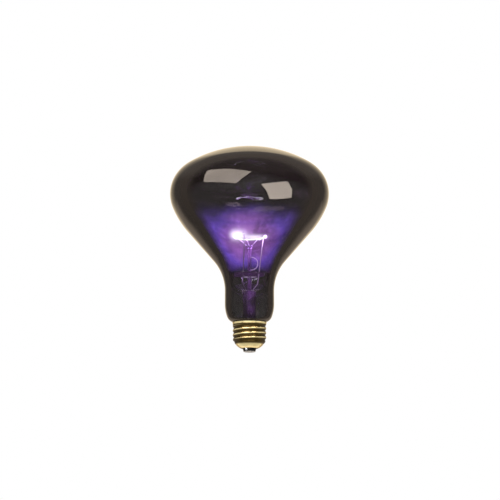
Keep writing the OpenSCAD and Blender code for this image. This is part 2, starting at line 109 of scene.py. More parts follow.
# Steps of the turned pieces, and rows of the shell's skin
BULB_STEPS = 128
BASE_STEPS = 96
ROD_STEPS = 48
SHELL_ROWS = 150

# Room and camera, in metres
FLOOR_Z = -0.4
FLOOR_HALF = 6.0
CAMERA_PLACE = (0, -0.8835, -0.0817)
CAMERA_AIM = (0, 0, 0.09)
CAMERA_LENS = 81.54
CAMERA_SENSOR = 36
CAMERA_SHIFT = (0.001, -0.0219)
CAMERA_CLIP = 0.01
LAMP_MIDDLE = (0, 0, 0.08)
LEFT_BOX = (
    (-0.2145, -0.1284, 0.1379),
    (-0.2177, -0.1230, 0.2782),
    (-0.1201, -0.2193, 0.2716),
    (0.0122, -0.2497, 0.2195),
    (-0.0696, -0.2401, 0.0870),
)
RIGHT_BOX = (
    (0.0206, -0.1019, 0.1099),
    (0.0636, -0.0823, 0.1255),
    (0.0740, -0.0730, 0.1036),
    (0.0795, -0.0670, 0.0831),
    (0.0430, -0.0947, 0.0678),
)
SOFT_BOX_TINT = (1.0, 0.86, 0.74, 1.0)

# Lights: name, place, side of the square in metres, and power in watts
SOFT_LIGHTS = [("key", (-0.9, -1.0, 0.9), 0.8, 9.0), ("fill", (1.0, -0.9, 0.3), 0.8, 6.0)]
SHELL_CARDS = [
    ("front_card", (0, -0.5, -0.1), 0.9, 2.6),
    ("left_card", (-0.5, 0.0, -0.05), 0.8, 1.5),
    ("right_card", (0.5, 0.0, -0.05), 0.8, 1.5),
    ("under_card", (0, -0.01, -0.38), 1.2, 2.9),
]
INSULATOR_CARD = ("insulator_card", (-0.2, -0.0557, -0.216), 0.12, 2.4)
WHITE = (1.0, 1.0, 1.0, 1.0)


def rgb(red, green, blue):
    """An opaque colour."""
    return (red, green, blue, 1.0)


class Value:
    """A socket of a node tree, worked out further with Python's operators."""

    def __init__(self, finish, socket):
        self.finish = finish
        self.socket = socket

    def math(self, operation, first, second):
        """One Math node on two values or numbers."""
        return self.finish.node("Math", {"operation": operation}, {0: first, 1: second})

    def __add__(self, other):
        return self.math("ADD", self, other)

    def __radd__(self, other):
        return self.math("ADD", other, self)

    def __sub__(self, other):
        return self.math("SUBTRACT", self, other)

    def __rsub__(self, other):
        return self.math("SUBTRACT", other, self)

    def __mul__(self, other):
        return self.math("MULTIPLY", self, other)

    def __rmul__(self, other):
        return self.math("MULTIPLY", other, self)

    def __truediv__(self, other):
        return self.math("DIVIDE", self, other)

    def __pow__(self, other):
        return self.math("POWER", self, other)

    def __rpow__(self, other):
        return self.math("POWER", other, self)

    def __abs__(self):
        return self.finish.node("Math", {"operation": "ABSOLUTE"}, {0: self})


class Finish:
    """The node tree of a material or of the world, with short calls for its nodes."""

    def __init__(self, name, world=None):
        self.material = world or bpy.data.materials.new(name)
        self.material.use_nodes = True
        self.tree = self.material.node_tree
        self.tree.nodes.clear()
        self.end = self.tree.nodes.new("ShaderNodeOutput" + ("World" if world else "Material"))

    def node(self, kind, settings=None, inputs=None, output=0):
        """Adds a node: its settings first, then the values or links of its sockets."""
        made = self.tree.nodes.new("ShaderNode" + kind)
        for key, value in (settings or {}).items():
            if key == "stops":
                self.set_stops(made.color_ramp, value)
            else:
                setattr(made, key, value)
        for key, value in (inputs or {}).items():
            self.feed(made.inputs[key], value)
        return Value(self, made.outputs[output])

    def set_stops(self, ramp, stops):
        """Gives a ramp its stops, each a place and a grey."""
        ramp.elements.remove(ramp.elements[1])
        ramp.elements[0].position = stops[0][0]
        ramp.elements[0].color = rgb(stops[0][1], stops[0][1], stops[0][1])
        for place, grey in stops[1:]:
            ramp.elements.new(place).color = rgb(grey, grey, grey)

    def feed(self, socket, value):
        """Gives a socket a link or a constant."""
        if isinstance(value, Value):
            self.tree.links.new(value.socket, socket)
        else:
            socket.default_value = value[:3] if socket.type == "VECTOR" else value

    def place(self):
        """Where a point is on the lamp, in metres."""
        return self.node("TexCoord", {}, {}, "Object")

    def along(self, axis):
        """One coordinate of the place, in millimetres."""
        return self.node("SeparateXYZ", {}, {0: self.place()}, axis) / MM

    def from_axis(self):
        """Distance from the lamp's axis, in millimetres."""
        across = self.along("X")
        deep = self.along("Y")
        return (across * across + deep * deep) ** 0.5

    def noise(self, scale, detail=2.0, stretch=(1.0, 1.0, 1.0)):
        """Noise from 0 to 1 with scale features in a metre, stretched along the axes."""
        spread = self.node("Mapping", {}, {"Vector": self.place(), "Scale": stretch})
        inputs = {"Vector": spread, "Scale": scale, "Detail": detail}
        return self.node("TexNoise", {}, inputs)

    def step(self, value, low, high):
        """0 below low and 1 above high, with a smooth rise between them."""
        settings = {"interpolation_type": "SMOOTHSTEP"}
        return self.node("MapRange", settings, {0: value, 1: low, 2: high})

    def facing(self):
        """1 where the surface is seen square on, 0 at its limb."""
        return 1 - self.node("LayerWeight", {}, {"Blend": 0.5}, "Facing")

    def mix(self, factor, first, second):
        """A colour between two others."""
        return self.node("Mix", {"data_type": "RGBA"}, {0: factor, 6: first, 7: second}, 2)

    def scaled(self, colour, factor):
        """A colour made brighter or darker."""
        return self.node("VectorMath", {"operation": "SCALE"}, {0: colour, 3: factor})

    def added(self, first, second):
        """The sum of two colours."""
        return self.node("VectorMath", {"operation": "ADD"}, {0: first, 1: second})

    def relief(self, height, strength, distance):
        """Normals of a fine relief whose depth is the distance."""
        inputs = {"Height": height, "Strength": strength, "Distance": distance}
        return self.node("Bump", {}, inputs)

    def shade(self, **inputs):
        """Finishes the tree with one surface shader and gives back the material."""
        named = {key.replace("_", " ").title(): value for key, value in inputs.items()}
        if "Ior" in named:
            named["IOR"] = named.pop("Ior")
        return self.close(self.node("BsdfPrincipled", {}, named))

    def close(self, shader):
        """Feeds the tree's end and gives back what the tree belongs to."""
        self.feed(self.end.inputs["Surface"], shader)
        return self.material


# Shapes


def turn(angle):
    """Unit normal of an outline, as radius and height, at an angle from +Z."""
    return Vector((math.sin(math.radians(angle)), math.cos(math.radians(angle))))


def arc(centre, radius, start, end, step=2.0):
    """Points of an arc between two normals; a negative radius gives a hollow arc."""
    count = max(1, math.ceil(abs(end - start) / step))
    turns = [start + (end - start) * i / count for i in range(count + 1)]
    return [Vector(centre) + radius * turn(angle) for angle in turns]


def ease(value, low, high):
    """Rises smoothly from 0 at low to 1 at high."""
    share = min(1.0, max(0.0, (value - low) / (high - low)))
    return share * share * (3 - 2 * share)


def turned(profile, steps, closed=True):
    """A solid of revolution from points of radius and height, in millimetres."""
    bm = bmesh.new()
    verts = [bm.verts.new((radius * MM, 0, height * MM)) for radius, height in profile]
    ends = verts[1:] + verts[:1] if closed else verts[1:]
    edges = [bm.edges.new(pair) for pair in zip(verts, ends)]
    bmesh.ops.spin(
        bm, geom=verts + edges, cent=(0, 0, 0), axis=(0, 0, 1), angle=math.tau, steps=steps, use_merge=True
    )
    bmesh.ops.remove_doubles(bm, verts=bm.verts, dist=0.001 * MM)
    bmesh.ops.recalc_face_normals(bm, faces=bm.faces)
    return bm


def rounded_off(bm, width, corner=30):
    """Rounds every edge that turns by more than the corner angle."""
    edges = [edge for edge in bm.edges if edge.calc_face_angle(0) > math.radians(corner)]
    bmesh.ops.bevel(
        bm, geom=edges, offset=width * MM, affect="EDGES", segments=3, profile=0.5, material=-1
    )
    return bm


def joined_copy(node):
    """The mesh of a CAD node with its loose triangles joined."""
    bm = bmesh.new()
    bm.from_mesh(nodes[node].data)
    bmesh.ops.remove_doubles(bm, verts=bm.verts, dist=0.002 * MM)
    return bm


def piece(name, bm, node, slot, *materials, sharp=35):
    """The finished piece that stands for a CAD node."""
    mesh = bpy.data.meshes.new(name)
    bm.to_mesh(mesh)
    bm.free()
    mesh.shade_smooth()
    mesh.set_sharp_from_angle(angle=math.radians(sharp))
    for material in materials:
        mesh.materials.append(material)
    made = bpy.data.objects.new(name, mesh)
    bpy.context.collection.objects.link(made)
    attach(made, "root")
    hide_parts(node)
    return made


# Bulb


def seat_curve():
    """Centre and radius of the curve by which the neck meets the base."""
    foot_turn = 90 + NECK_TURN
    foot_end = 90 + SEAT_TURN
    drop = NECK_R - BEAD_R - NECK_END_R * (1 - turn(foot_turn).x)
    radius = drop / (turn(foot_turn).x - turn(foot_end).x)
    return Vector((BEAD_R, BASE_H + RIM_GAP)) - radius * turn(foot_end), radius


def bulb_outline(wall):
    """The bulb's outline from the crown to the seal, set in by a wall."""
    low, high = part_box("envelope")
    bulb_r = high.x / MM
    face_c = Vector((0, high.z / MM - FACE_R))
    rim_x = bulb_r - RIM_R
    face_end = math.degrees(math.asin(rim_x / (FACE_R - RIM_R)))
    rim_c = face_c + (FACE_R - RIM_R) * turn(face_end)
    shoulder_c = Vector((bulb_r - SHOULDER_R, rim_c.y))
    shoulder_end = 90 + SHOULDER_TURN
    flank_c = shoulder_c - (FLANK_R - SHOULDER_R) * turn(shoulder_end)
    cone_end = 90 + CONE_ANGLE
    flank_low = flank_c + FLANK_R * turn(cone_end)
    cosine, sine = math.cos(math.radians(CONE_ANGLE)), math.sin(math.radians(CONE_ANGLE))
    cone_len = (flank_low.x - NECK_R - SWEEP_R * (1 - cosine)) / sine
    sweep_c = Vector((NECK_R + SWEEP_R, flank_low.y - cone_len * cosine - SWEEP_R * sine))
    foot_turn = 90 + NECK_TURN
    foot_end = 90 + SEAT_TURN
    seat_c, seat_r = seat_curve()
    neck_end_c = seat_c - (NECK_END_R - seat_r) * turn(foot_turn)
    tail_curve_r = (BEAD_R - TAIL_R) / (1 - turn(foot_end).x)
    tail_c = Vector((BEAD_R, BASE_H + RIM_GAP)) + tail_curve_r * turn(foot_end)
    return (
        arc(face_c, FACE_R - wall, 0, face_end, 1)
        + arc(rim_c, RIM_R - wall, face_end, 90)
        + arc(shoulder_c, SHOULDER_R - wall, 90, shoulder_end)
        + arc(flank_c, FLANK_R - wall, shoulder_end, cone_end, 1.5)
        + arc(sweep_c, -SWEEP_R - wall, cone_end, 90)
        + arc(neck_end_c, NECK_END_R - wall, 90, foot_turn)
        + arc(seat_c, seat_r - wall, foot_turn, foot_end, 5)
        + arc(tail_c, -tail_curve_r - wall, foot_end, 90, 7)
        + [Vector((TAIL_R - wall, low.z / MM))]
    )


def blow_bulb():
    """The glass bulb; its inner skin has a finish of its own, lit by the filament."""
    bm = turned(bulb_outline(0) + bulb_outline(GLASS_T)[::-1], BULB_STEPS)
    heart = Vector((0, 0, RING_Z * MM))
    for face in bm.faces:
        outwards = face.normal.dot(face.calc_center_median() - heart) > 0
        face.material_index = 0 if outwards else 1
    piece("bulb_glass", bm, "envelope", "dark_violet_glass", dark_glass(), glowing_skin())


# Base


def shell_radius(height, angle):
    """Radius of the rolled shell at a height in millimetres and an angle."""
    drop = max(0.0, FOOT_TOP_Z - height)
    foot = ROOT_R - FOOT_R + math.sqrt(FOOT_R**2 - drop**2)
    skirt = ease(height, THREAD_FADE_Z, THREAD_GONE_Z)
    thread = ease(height, THREAD_START_Z, THREAD_FULL_Z) * (1 - skirt)
    wave = 0.5 + 0.5 * math.cos(math.tau * (height - CREST_Z) / THREAD_PITCH - angle)
    bead = ease(height, BEAD_Z, BASE_H) * (BEAD_R - THREAD_R)
    return foot + skirt * (THREAD_R - ROOT_R) + bead + THREAD_DEPTH * thread * wave


def lip_height():
    """Height of the shell's lower edge."""
    return FOOT_TOP_Z - math.sqrt(FOOT_R**2 - (LIP_R - ROOT_R + FOOT_R) ** 2)


def lip_bore():
    """Radius of the shell's inside at its lower edge."""
    inner = (FOOT_R - SHELL_T) ** 2 - (FOOT_TOP_Z - lip_height()) ** 2
    return ROOT_R - FOOT_R + math.sqrt(inner)


def roll_shell():
    """The screw shell: a plain tube whose points are moved out to the rolled thread."""
    low = lip_height()
    rise = BASE_H - low
    tube = [(THREAD_R, low + rise * i / SHELL_ROWS) for i in range(SHELL_ROWS + 1)]
    bm = turned(tube, BASE_STEPS, closed=False)
    for vert in bm.verts:
        angle = math.atan2(vert.co.y, vert.co.x)
        radius = shell_radius(vert.co.z / MM, angle) * MM
        vert.co.x = radius * math.cos(angle)
        vert.co.y = radius * math.sin(angle)
    bm.faces.ensure_lookup_table()
    if bm.faces[0].normal.dot(bm.faces[0].calc_center_median()) < 0:
        bmesh.ops.reverse_faces(bm, faces=bm.faces)
    bmesh.ops.solidify(bm, geom=bm.faces, thickness=SHELL_T * MM)
    piece("rolled_brass_shell", bm, "screw_shell", "brass", brass(), sharp=50)


def make_base():
    """The insulator, the contact and the solder on both ends of the circuit."""
    lip = lip_height()
    top = CONTACT_Z + CONTACT_T
    bore = BARREL_R + SEAT_GAP
    neck = lip_bore() - 2 * SEAT_GAP
    low, high = Vector((CONTACT_R + SEAT_GAP, top)), Vector((neck, lip - SEAT_GAP))
    flange = lip + SHELL_T + 2 * SEAT_GAP
    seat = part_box("base_insulator")[1].x / MM
    profile = [(bore, top)] + hollow_side(low, high, INSULATOR_HOLLOW)
    profile += [(neck, flange), (neck + INSULATOR_LEDGE, flange), (seat, INSULATOR_TOP_Z)]
    profile += [(bore, INSULATOR_TOP_Z)]
    bm = rounded_off(turned(profile, BASE_STEPS), INSULATOR_EDGE_R)
    piece("insulator_glass", bm, "base_insulator", "black_glass", black_glass())

    profile = [(BARREL_R - BARREL_T, CONTACT_Z), (CONTACT_R, CONTACT_Z), (CONTACT_R, top)]
    barrel_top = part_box("centre_contact")[1].z / MM
    profile += [(BARREL_R, top), (BARREL_R, barrel_top), (BARREL_R - BARREL_T, barrel_top)]
    bm = rounded_off(turned(profile, BASE_STEPS), CONTACT_EDGE_R)
    piece("contact_disc", bm, "centre_contact", "contact_metal", contact_metal())

    dome = []
    steps = 12
    for i in range(steps + 1):
        angle = math.radians(90 * i / steps)
        radius = SOLDER_FLAT_R + (SOLDER_R - SOLDER_FLAT_R) * math.sin(angle)
        dome.append((radius, CONTACT_Z * (1 - math.cos(angle))))
    plug = BARREL_R - BARREL_T - FUSED_GAP
    profile = [(0, 0)] + dome + [(plug, CONTACT_Z), (plug, top), (0, top)]
    bm = turned(profile, BASE_STEPS)
    piece("contact_solder_dome", bm, "contact_solder", "solder", solder())
    piece("side_solder_bead", joined_copy("side_solder"), "side_solder", "solder", solder())
    piece("cement_ring", joined_copy("basing_cement"), "basing_cement", "basing_cement", cement())


def hollow_side(low, high, share):
    """A slanted side from low to high, hollowed by a share of its slant."""
    steps = 16
    across = Vector((high.y - low.y, low.x - high.x))
    places = [i / steps for i in range(steps + 1)]
    return [low + (high - low) * t - 4 * t * (1 - t) * share * across for t in places]


# Mount


def make_rod():
    """The glass rod with the shelf under the heat shield and the button at its top."""
    shelf = [(ROD_R, SHIELD_Z - SHELF_H), (SHELF_R, SHIELD_Z - SHELF_H / 2), (SHELF_R, SHIELD_Z)]
    button = []
    steps = 24
    for i in range(steps + 1):
        angle = math.radians(180 * i / steps - 90)
        radius = BUTTON_R * math.cos(angle)
        if radius > ROD_R or angle > 0:
            button.append((max(0.0, radius), BUTTON_Z + BUTTON_H / 2 * math.sin(angle)))
    profile = [(0, PRESS_TOP_Z), (ROD_R, PRESS_TOP_Z)] + shelf + [(ROD_R, SHIELD_Z)]
    profile += [(ROD_R, BUTTON_Z - BUTTON_H / 2)] + button
    bm = turned(profile, ROD_STEPS)
    piece("filament_rod", bm, "arbor_rod", "clear_glass", lit_glass("rod glass", ROD_LIGHT))


def wind_filament():
    """The coil of tungsten wire, wound along the horseshoe."""
    turn_steps = 24
    steps = COIL_TURNS * turn_steps
    mean = (COIL_R - FILAMENT_WIRE_R) * MM
    curve = bpy.data.curves.new("coil", "CURVE")
    curve.dimensions = "3D"
    curve.bevel_depth = FILAMENT_WIRE_R * MM
    curve.bevel_resolution = 1
    curve.use_fill_caps = True
    spline = curve.splines.new("POLY")
    spline.points.add(steps)
    for k, point in enumerate(spline.points):
        along = math.radians(RING_SPAN * k / steps)
        around = math.tau * k / turn_steps
        radius = RING_R * MM + mean * math.cos(around)
        height = RING_Z * MM + mean * math.sin(around)
        point.co = (radius * math.cos(along), radius * math.sin(along), height, 1)
    wire = bpy.data.objects.new("coil", curve)
    bpy.context.collection.objects.link(wire)
    graph = bpy.context.evaluated_depsgraph_get()
    bm = bmesh.new()
    bm.from_mesh(wire.evaluated_get(graph).to_mesh())
    bpy.data.objects.remove(wire)
    bmesh.ops.recalc_face_normals(bm, faces=bm.faces)
    piece("filament_coil", bm, "filament", "glowing_tungsten", tungsten())


def make_mount():
    """What stands in the bulb on the stem, seen through the glass."""
    clear = lit_glass("stem glass", STEM_LIGHT)
    # The numbers are strengths of the filament's light painted on each wire; the left lead's dimmer copy
    # is painted shade.
    copper = drawn_wire("copper wire", COPPER, 0.1, STEM_LIGHT)
    nickel = drawn_wire("nickel wire", NICKEL, 16.0, LEAD_LIGHT)
    dim_nickel = drawn_wire("shaded nickel wire", NICKEL, 5.0, LEAD_LIGHT)
    grey = drawn_wire("hook wire", GREY_METAL, 14.0, HOOK_LIGHT)
    loop = drawn_wire("loop wire", GREY_METAL, 4.0, LOOP_LIGHT)
    plain = [
        ("stem_glass", "stem_flare", "clear_glass", clear),
        ("exhaust_glass", "exhaust_tube", "clear_glass", clear),
        ("fuse_glass", "fuse_sleeve", "clear_glass", clear),
        ("shield_disc", "heat_shield", "shield_sheet", shield_sheet()),
        ("right_seal_copper", "right_seal_wire", "copper", copper),
        ("left_seal_copper", "left_seal_wire", "copper", copper),
        ("contact_copper", "contact_wire", "copper", copper),
        ("shell_copper", "shell_wire", "copper", copper),
        ("right_lead_nickel", "right_lead", "nickel", nickel),
        ("left_lead_nickel", "left_lead", "nickel", dim_nickel),
        ("hook_back_right", "support_back_right", "molybdenum", grey),
        ("hook_back", "support_back", "molybdenum", grey),
        ("hook_back_left", "support_back_left", "molybdenum", grey),
        ("hook_left", "support_left", "molybdenum", grey),
        ("side_loop", "tie_loop", "molybdenum", loop),
    ]
    for name, node, slot, material in plain:
        piece(name, joined_copy(node), node, slot, material, sharp=50)


# Finishes

COPPER = rgb(0.72, 0.43, 0.28)
NICKEL = rgb(0.66, 0.64, 0.6)
GREY_METAL = rgb(0.55, 0.55, 0.57)

# Light that one wall of the dark glass lets through where it is seen square on
CLEARNESS = 0.15
# How far the inner skin covers what lies behind it
SKIN_COVER = 0.42
SKIN_LIGHT = 5.2
# How squarely the camera sees the far wall at two heights in millimetres
SEEN_LOW_Z, SEEN_LOW = 96.4, 0.616
SEEN_HIGH_Z, SEEN_HIGH = 126.4, 0.98
# Middle and half height of the halo in millimetres, and its half width as a change of squareness
HALO_Z, HALO_H, HALO_ASIDE = 102, 24, 0.08
# Height of the glow's upper edge, and how far that edge moves with squareness, in millimetres
DOME_EDGE_Z, DOME_EDGE_RUN = 116, 34
# Growth of the glow towards the closed side of the filament, for each millimetre
LEAN = 0.006

# Brightness of the lit inner skin by height, in millimetres
GLOW = [
    (65, 0.0), (67, 0.1), (70, 0.4), (74, 0.8), (79, 1.0), (88, 1.0), (110, 1.0),
    (117, 0.85), (121, 0.7), (125, 0.52), (129, 0.36), (134, 0.18), (140, 0.06), (148, 0.0),
]

# Cover of the inner skin by height: none at the crown and down in the neck
COVER = [(36, 0.3), (50, 1.0), (140, 1.0), (147, 0.0)]

# Where the filament lights the wall behind it brightest: place across and height, half width and
# half height in millimetres, and brightness
HOT_SPOTS = [(-9.9, 103.8, 7.0, 4.7, 3.4), (-11, 103.8, 12, 7.5, 0.5), (4.5, 101.7, 9, 2.6, 2.6)]

# Light that the clear glass takes from the filament by height, in millimetres
STEM_LIGHT = [(22, 0.0), (30, 0.08), (37, 0.35), (46, 0.7), (49, 0.5), (60, 0.0)]
ROD_LIGHT = [(46, 0.3), (58, 0.5), (66, 0.6), (76, 1.2), (82, 1.8), (90, 1.8)]
LEAD_LIGHT = [(46, 0.06), (62, 0.09), (76, 0.13), (83, 0.3), (87, 0.9), (94, 1.0)]
HOOK_LIGHT = [(82, 0.1), (86, 0.4), (90, 1.0), (94, 1.0)]
LOOP_LIGHT = [(60, 0.7), (76, 1.0)]


def by_height(finish, stops):
    """A value that follows the height, from stops in millimetres."""
    low, high = stops[0][0], stops[-1][0]
    places = [((height - low) / (high - low), float(share)) for height, share in stops]
    rise = (finish.along("Z") - low) / (high - low)
    return finish.node("ValToRGB", {"stops": places}, {0: rise})


def hot_spots(finish, height):
    """White light of the filament on the wall close behind it."""
    across = finish.along("X")
    edge = 0.3
    total = 0.0
    for place, level, wide, high, bright in HOT_SPOTS:
        spread = ((across - place) / wide) ** 2 + ((height - level) / high) ** 2
        total = edge**spread * bright + total
    return total * finish.step(finish.along("Y"), 20, 40)


def dark_glass():
    """Dark violet glass: clear enough to be seen into, but closed towards its limb, where a painted sheen
    makes its colour lighter.
    """
    finish = Finish("dark violet glass")
    open_face = finish.step(finish.facing(), 0.58, 0.74)
    mottle = finish.noise(45.0, 3.0)
    square_on = finish.mix(mottle, rgb(0.010, 0.007, 0.006), rgb(0.014, 0.010, 0.009))
    # painted sheen: the glass colour is lighter towards its limb than where it is seen square on
    limb = finish.mix(mottle, rgb(0.036, 0.028, 0.023), rgb(0.042, 0.033, 0.028))
    ripple = finish.noise(30.0, 1.0)
    return finish.shade(
        base_color=finish.mix(open_face, limb, square_on),
        roughness=0.02 + 0.02 * mottle,
        ior=1.52,
        alpha=1 - CLEARNESS * open_face,
        normal=finish.relief(ripple, 0.1, 0.0004),
    )


def glowing_skin():
    """The inner skin: violet light of the filament on the wall that it faces, and its mirror image."""
    finish = Finish("glowing inner skin")
    behind = finish.node("NewGeometry", {}, {}, "Backfacing")
    seen = finish.node("LightPath", {}, {}, "Is Camera Ray")
    facing = finish.facing()
    height = finish.along("Z")
    clouds = finish.step(finish.noise(55.0, 4.0), 0.3, 0.7)
    scratches = finish.step(finish.noise(260.0, 3.0), 0.45, 0.8)
    streaks = 0.6 + 0.6 * clouds + 0.45 * scratches
    seen_range = {0: height, 1: SEEN_LOW_Z, 2: SEEN_HIGH_Z, 3: SEEN_LOW, 4: SEEN_HIGH}
    aside = abs(finish.node("MapRange", {}, seen_range) - facing)
    spread = ((height - HALO_Z) / HALO_H) ** 2 + aside / HALO_ASIDE
    halo = 1 - finish.step(spread, 0.15, 1.6)
    flank = 1 - 0.7 * finish.step(spread, 0.9, 3.8)
    lift = facing - (height - DOME_EDGE_Z) / DOME_EDGE_RUN
    dome_edge = finish.step(lift + 0.16 * clouds, 0.42, 0.86)
    edge = finish.mix(finish.step(facing, 0.38, 0.54), rgb(0.24, 0.11, 0.8), rgb(0.3, 0.145, 1.1))
    colour = finish.mix(halo, edge, rgb(0.76, 0.28, 1.15))
    light = by_height(finish, GLOW) * streaks * finish.step(facing, 0.3, 0.45)
    light = light * dome_edge * flank * seen * (1 - LEAN * finish.along("X"))
    white = hot_spots(finish, height) * (1 - finish.step(aside, 0.03, 0.055)) * seen
    hot = finish.scaled(rgb(0.92, 0.92, 0.96), white)
    return finish.shade(
        base_color=rgb(0.82, 0.72, 0.96),
        metallic=1.0,
        roughness=0.04,
        alpha=SKIN_COVER * (1 - behind) * by_height(finish, COVER),
        emission_color=finish.added(finish.scaled(colour, light), hot),
        emission_strength=SKIN_LIGHT,
    )


def lit_glass(name, light):
    """Clear lamp glass that carries light from the filament, most of it near the axis."""
    finish = Finish(name)
    rim = 1 - finish.facing()
    patches = finish.step(finish.noise(180.0, 3.0, (1.0, 1.0, 0.6)), 0.38, 0.62)
    off_axis = abs(finish.along("X") - 1.2)
    streaks = (0.12 + 1.2 * patches) * (1.7 - 1.4 * finish.step(off_axis, 1.2, 4.6))
    return finish.shade(
        base_color=rgb(0.5, 0.48, 0.58),
        roughness=0.04,
        ior=1.5,
        alpha=0.35 + 0.55 * rim,
        emission_color=finish.scaled(rgb(0.6, 0.19, 1.0), by_height(finish, light) * streaks),
        emission_strength=1.0,
    )


def drawn_wire(name, colour, heat, glow):
    """Drawn wire with fine lines along it, on which the filament's light is painted as a glow that follows
    the height.
    """
    finish = Finish(name)
    lines = finish.noise(2500.0, 2.0, (1.0, 1.0, 0.08))
    dark = rgb(*(0.75 * part for part in colour[:3]))
    return finish.shade(
        base_color=finish.mix(lines, dark, colour),
        metallic=0.9,
        roughness=0.28 + 0.15 * lines,
        normal=finish.relief(lines, 0.3, 0.00002),
        # painted glow: the filament's light on the wire by height, at the strength given as heat
        emission_color=finish.scaled(rgb(0.72, 0.45, 1.0), by_height(finish, glow)),
        emission_strength=heat,
    )


def tungsten():
    """White-hot wire, toned down for the camera but not for what mirrors it."""
    finish = Finish("glowing tungsten")
    grain = finish.noise(3000.0, 2.0)
    hot = finish.mix(grain, rgb(0.84, 0.96, 0.78), rgb(0.92, 1.0, 0.86))
    seen = finish.node("LightPath", {}, {}, "Is Camera Ray")
    return finish.shade(
        base_color=rgb(0.4, 0.38, 0.36),
        metallic=1.0,
        roughness=0.4,
        emission_color=finish.scaled(hot, 1 - 0.3 * seen),
        emission_strength=13.0,
    )


def brass():
    """Rolled brass: bright and smoother on the crests, the rim and the foot, with painted shade darkening
    the roots and flanks of the thread and the skirt under the rim.
    """
    finish = Finish("rolled brass")
    height = finish.along("Z")
    crest = finish.step(finish.from_axis(), THREAD_R - 0.2, THREAD_R - 0.02)
    crest = crest * (1 - finish.step(height, THREAD_FADE_Z, THREAD_FADE_Z + 0.8))
    rim = finish.step(height, BASE_H - 1.6, BASE_H - 1.1)
    foot = 1 - finish.step(height, 5.6, 7.0)
    unshaded_brass = finish.node("Math", {"operation": "MAXIMUM"}, {0: crest, 1: foot + rim})
    stain = finish.noise(260.0, 4.0)
    # painted shade: a near-black brass colour in the roots and flanks of the thread and on the skirt under
    # the rim, mottled at random
    root = finish.mix(stain, rgb(0.028, 0.019, 0.006), rgb(0.085, 0.055, 0.017))
    bright = finish.mix(stain, rgb(0.72, 0.53, 0.2), rgb(1.0, 0.88, 0.5))
    return finish.shade(
        base_color=finish.mix(unshaded_brass, root, bright),
        metallic=1.0,
        roughness=0.34 - 0.14 * unshaded_brass + 0.06 * stain,
    )


def black_glass():
    """Glossy black insulator glass with faint mould ripple."""
    finish = Finish("black insulator glass")
    mottle = finish.noise(500.0, 3.0)
    return finish.shade(
        base_color=finish.mix(mottle, rgb(0.006, 0.006, 0.007), rgb(0.016, 0.015, 0.016)),
        roughness=0.12 + 0.1 * mottle,
        ior=1.55,
        normal=finish.relief(finish.noise(260.0, 1.0), 0.3, 0.0001),
    )


def contact_metal():
    """Tinned brass of the centre contact, lightly scratched and dark round its edge."""
    finish = Finish("tinned contact")
    scratches = finish.noise(900.0, 3.0, (1.0, 6.0, 1.0))
    edge = finish.step(finish.along("Z"), CONTACT_Z + 0.06, CONTACT_Z + 0.3)
    tinned = finish.mix(scratches, rgb(0.72, 0.69, 0.62), rgb(0.88, 0.86, 0.82))
    return finish.shade(
        base_color=finish.mix(edge, tinned, rgb(0.05, 0.045, 0.04)),
        metallic=0.8,
        roughness=0.3 + 0.2 * scratches,
        normal=finish.relief(scratches, 0.3, 0.00003),
    )


def solder():
    """Dull silvery solder with a frosty, slightly lumpy skin."""
    finish = Finish("solder")
    frost = finish.noise(1800.0, 4.0)
    lumps = finish.noise(350.0, 1.0)
    return finish.shade(
        base_color=finish.mix(frost, rgb(0.62, 0.62, 0.62), rgb(0.84, 0.84, 0.83)),
        metallic=0.7,
        roughness=0.34 + 0.2 * frost,
        normal=finish.relief(lumps + 0.3 * frost, 0.5, 0.0001),
    )


def cement():
    """Matte cement with fine grit."""
    finish = Finish("basing cement")
    grit = finish.noise(1500.0, 4.0)
    return finish.shade(
        base_color=finish.mix(grit, rgb(0.56, 0.52, 0.44), rgb(0.74, 0.70, 0.62)),
        roughness=0.9,
        normal=finish.relief(grit, 0.6, 0.0001),
    )


def shield_sheet():
    """Matte rolled sheet, faintly stained by heat, with the filament's violet light painted on it as a
    glow, and a painted glint on its turned edge.
    """
    finish = Finish("heat shield sheet")
    lines = finish.noise(700.0, 2.0, (0.1, 4.0, 1.0))
    stain = finish.noise(120.0, 3.0)
    inside = 1 - finish.step(finish.from_axis(), SHIELD_R - 0.3, SHIELD_R - 0.15)
    turned_edge = inside * (1 - finish.step(finish.along("Z"), SHIELD_Z - 0.3, SHIELD_Z - 0.1))
    # painted glint: the turned edge glows bright where it is seen square on
    painted_edge_glint = turned_edge * finish.step(finish.facing(), 0.69, 0.86)
    # painted glow: the filament's violet light on the sheet, patchy with the stain
    painted_violet_glow = finish.scaled(rgb(0.08, 0.033, 0.13), 0.4 + 1.2 * stain)
    return finish.shade(
        base_color=finish.mix(stain, rgb(0.42, 0.40, 0.39), rgb(0.62, 0.60, 0.58)),
        metallic=0.8,
        roughness=0.4 + 0.2 * lines,
        normal=finish.relief(lines, 0.3, 0.00004),
        emission_color=finish.mix(painted_edge_glint, painted_violet_glow, rgb(1.3, 1.0, 1.6)),
        emission_strength=2.0,
    )


# Room


def panel(name, corners, colour, strength):
    """A soft box that only gloss sees, from its corners."""
    bm = bmesh.new()
    bm.faces.new([bm.verts.new(corner) for corner in corners])
    mesh = bpy.data.meshes.new(name)
    bm.to_mesh(mesh)
    bm.free()
    finish = Finish(name)
    cloth = finish.scaled(colour, 0.8 + 0.4 * finish.noise(14.0, 2.0))
    light = finish.node("Emission", {}, {"Color": cloth, "Strength": strength})
    mesh.materials.append(finish.close(light))
    made = bpy.data.objects.new(name, mesh)
    bpy.context.collection.objects.link(made)
    made.visible_camera = False
    made.visible_diffuse = False
    made.visible_transmission = False
    made.visible_shadow = False


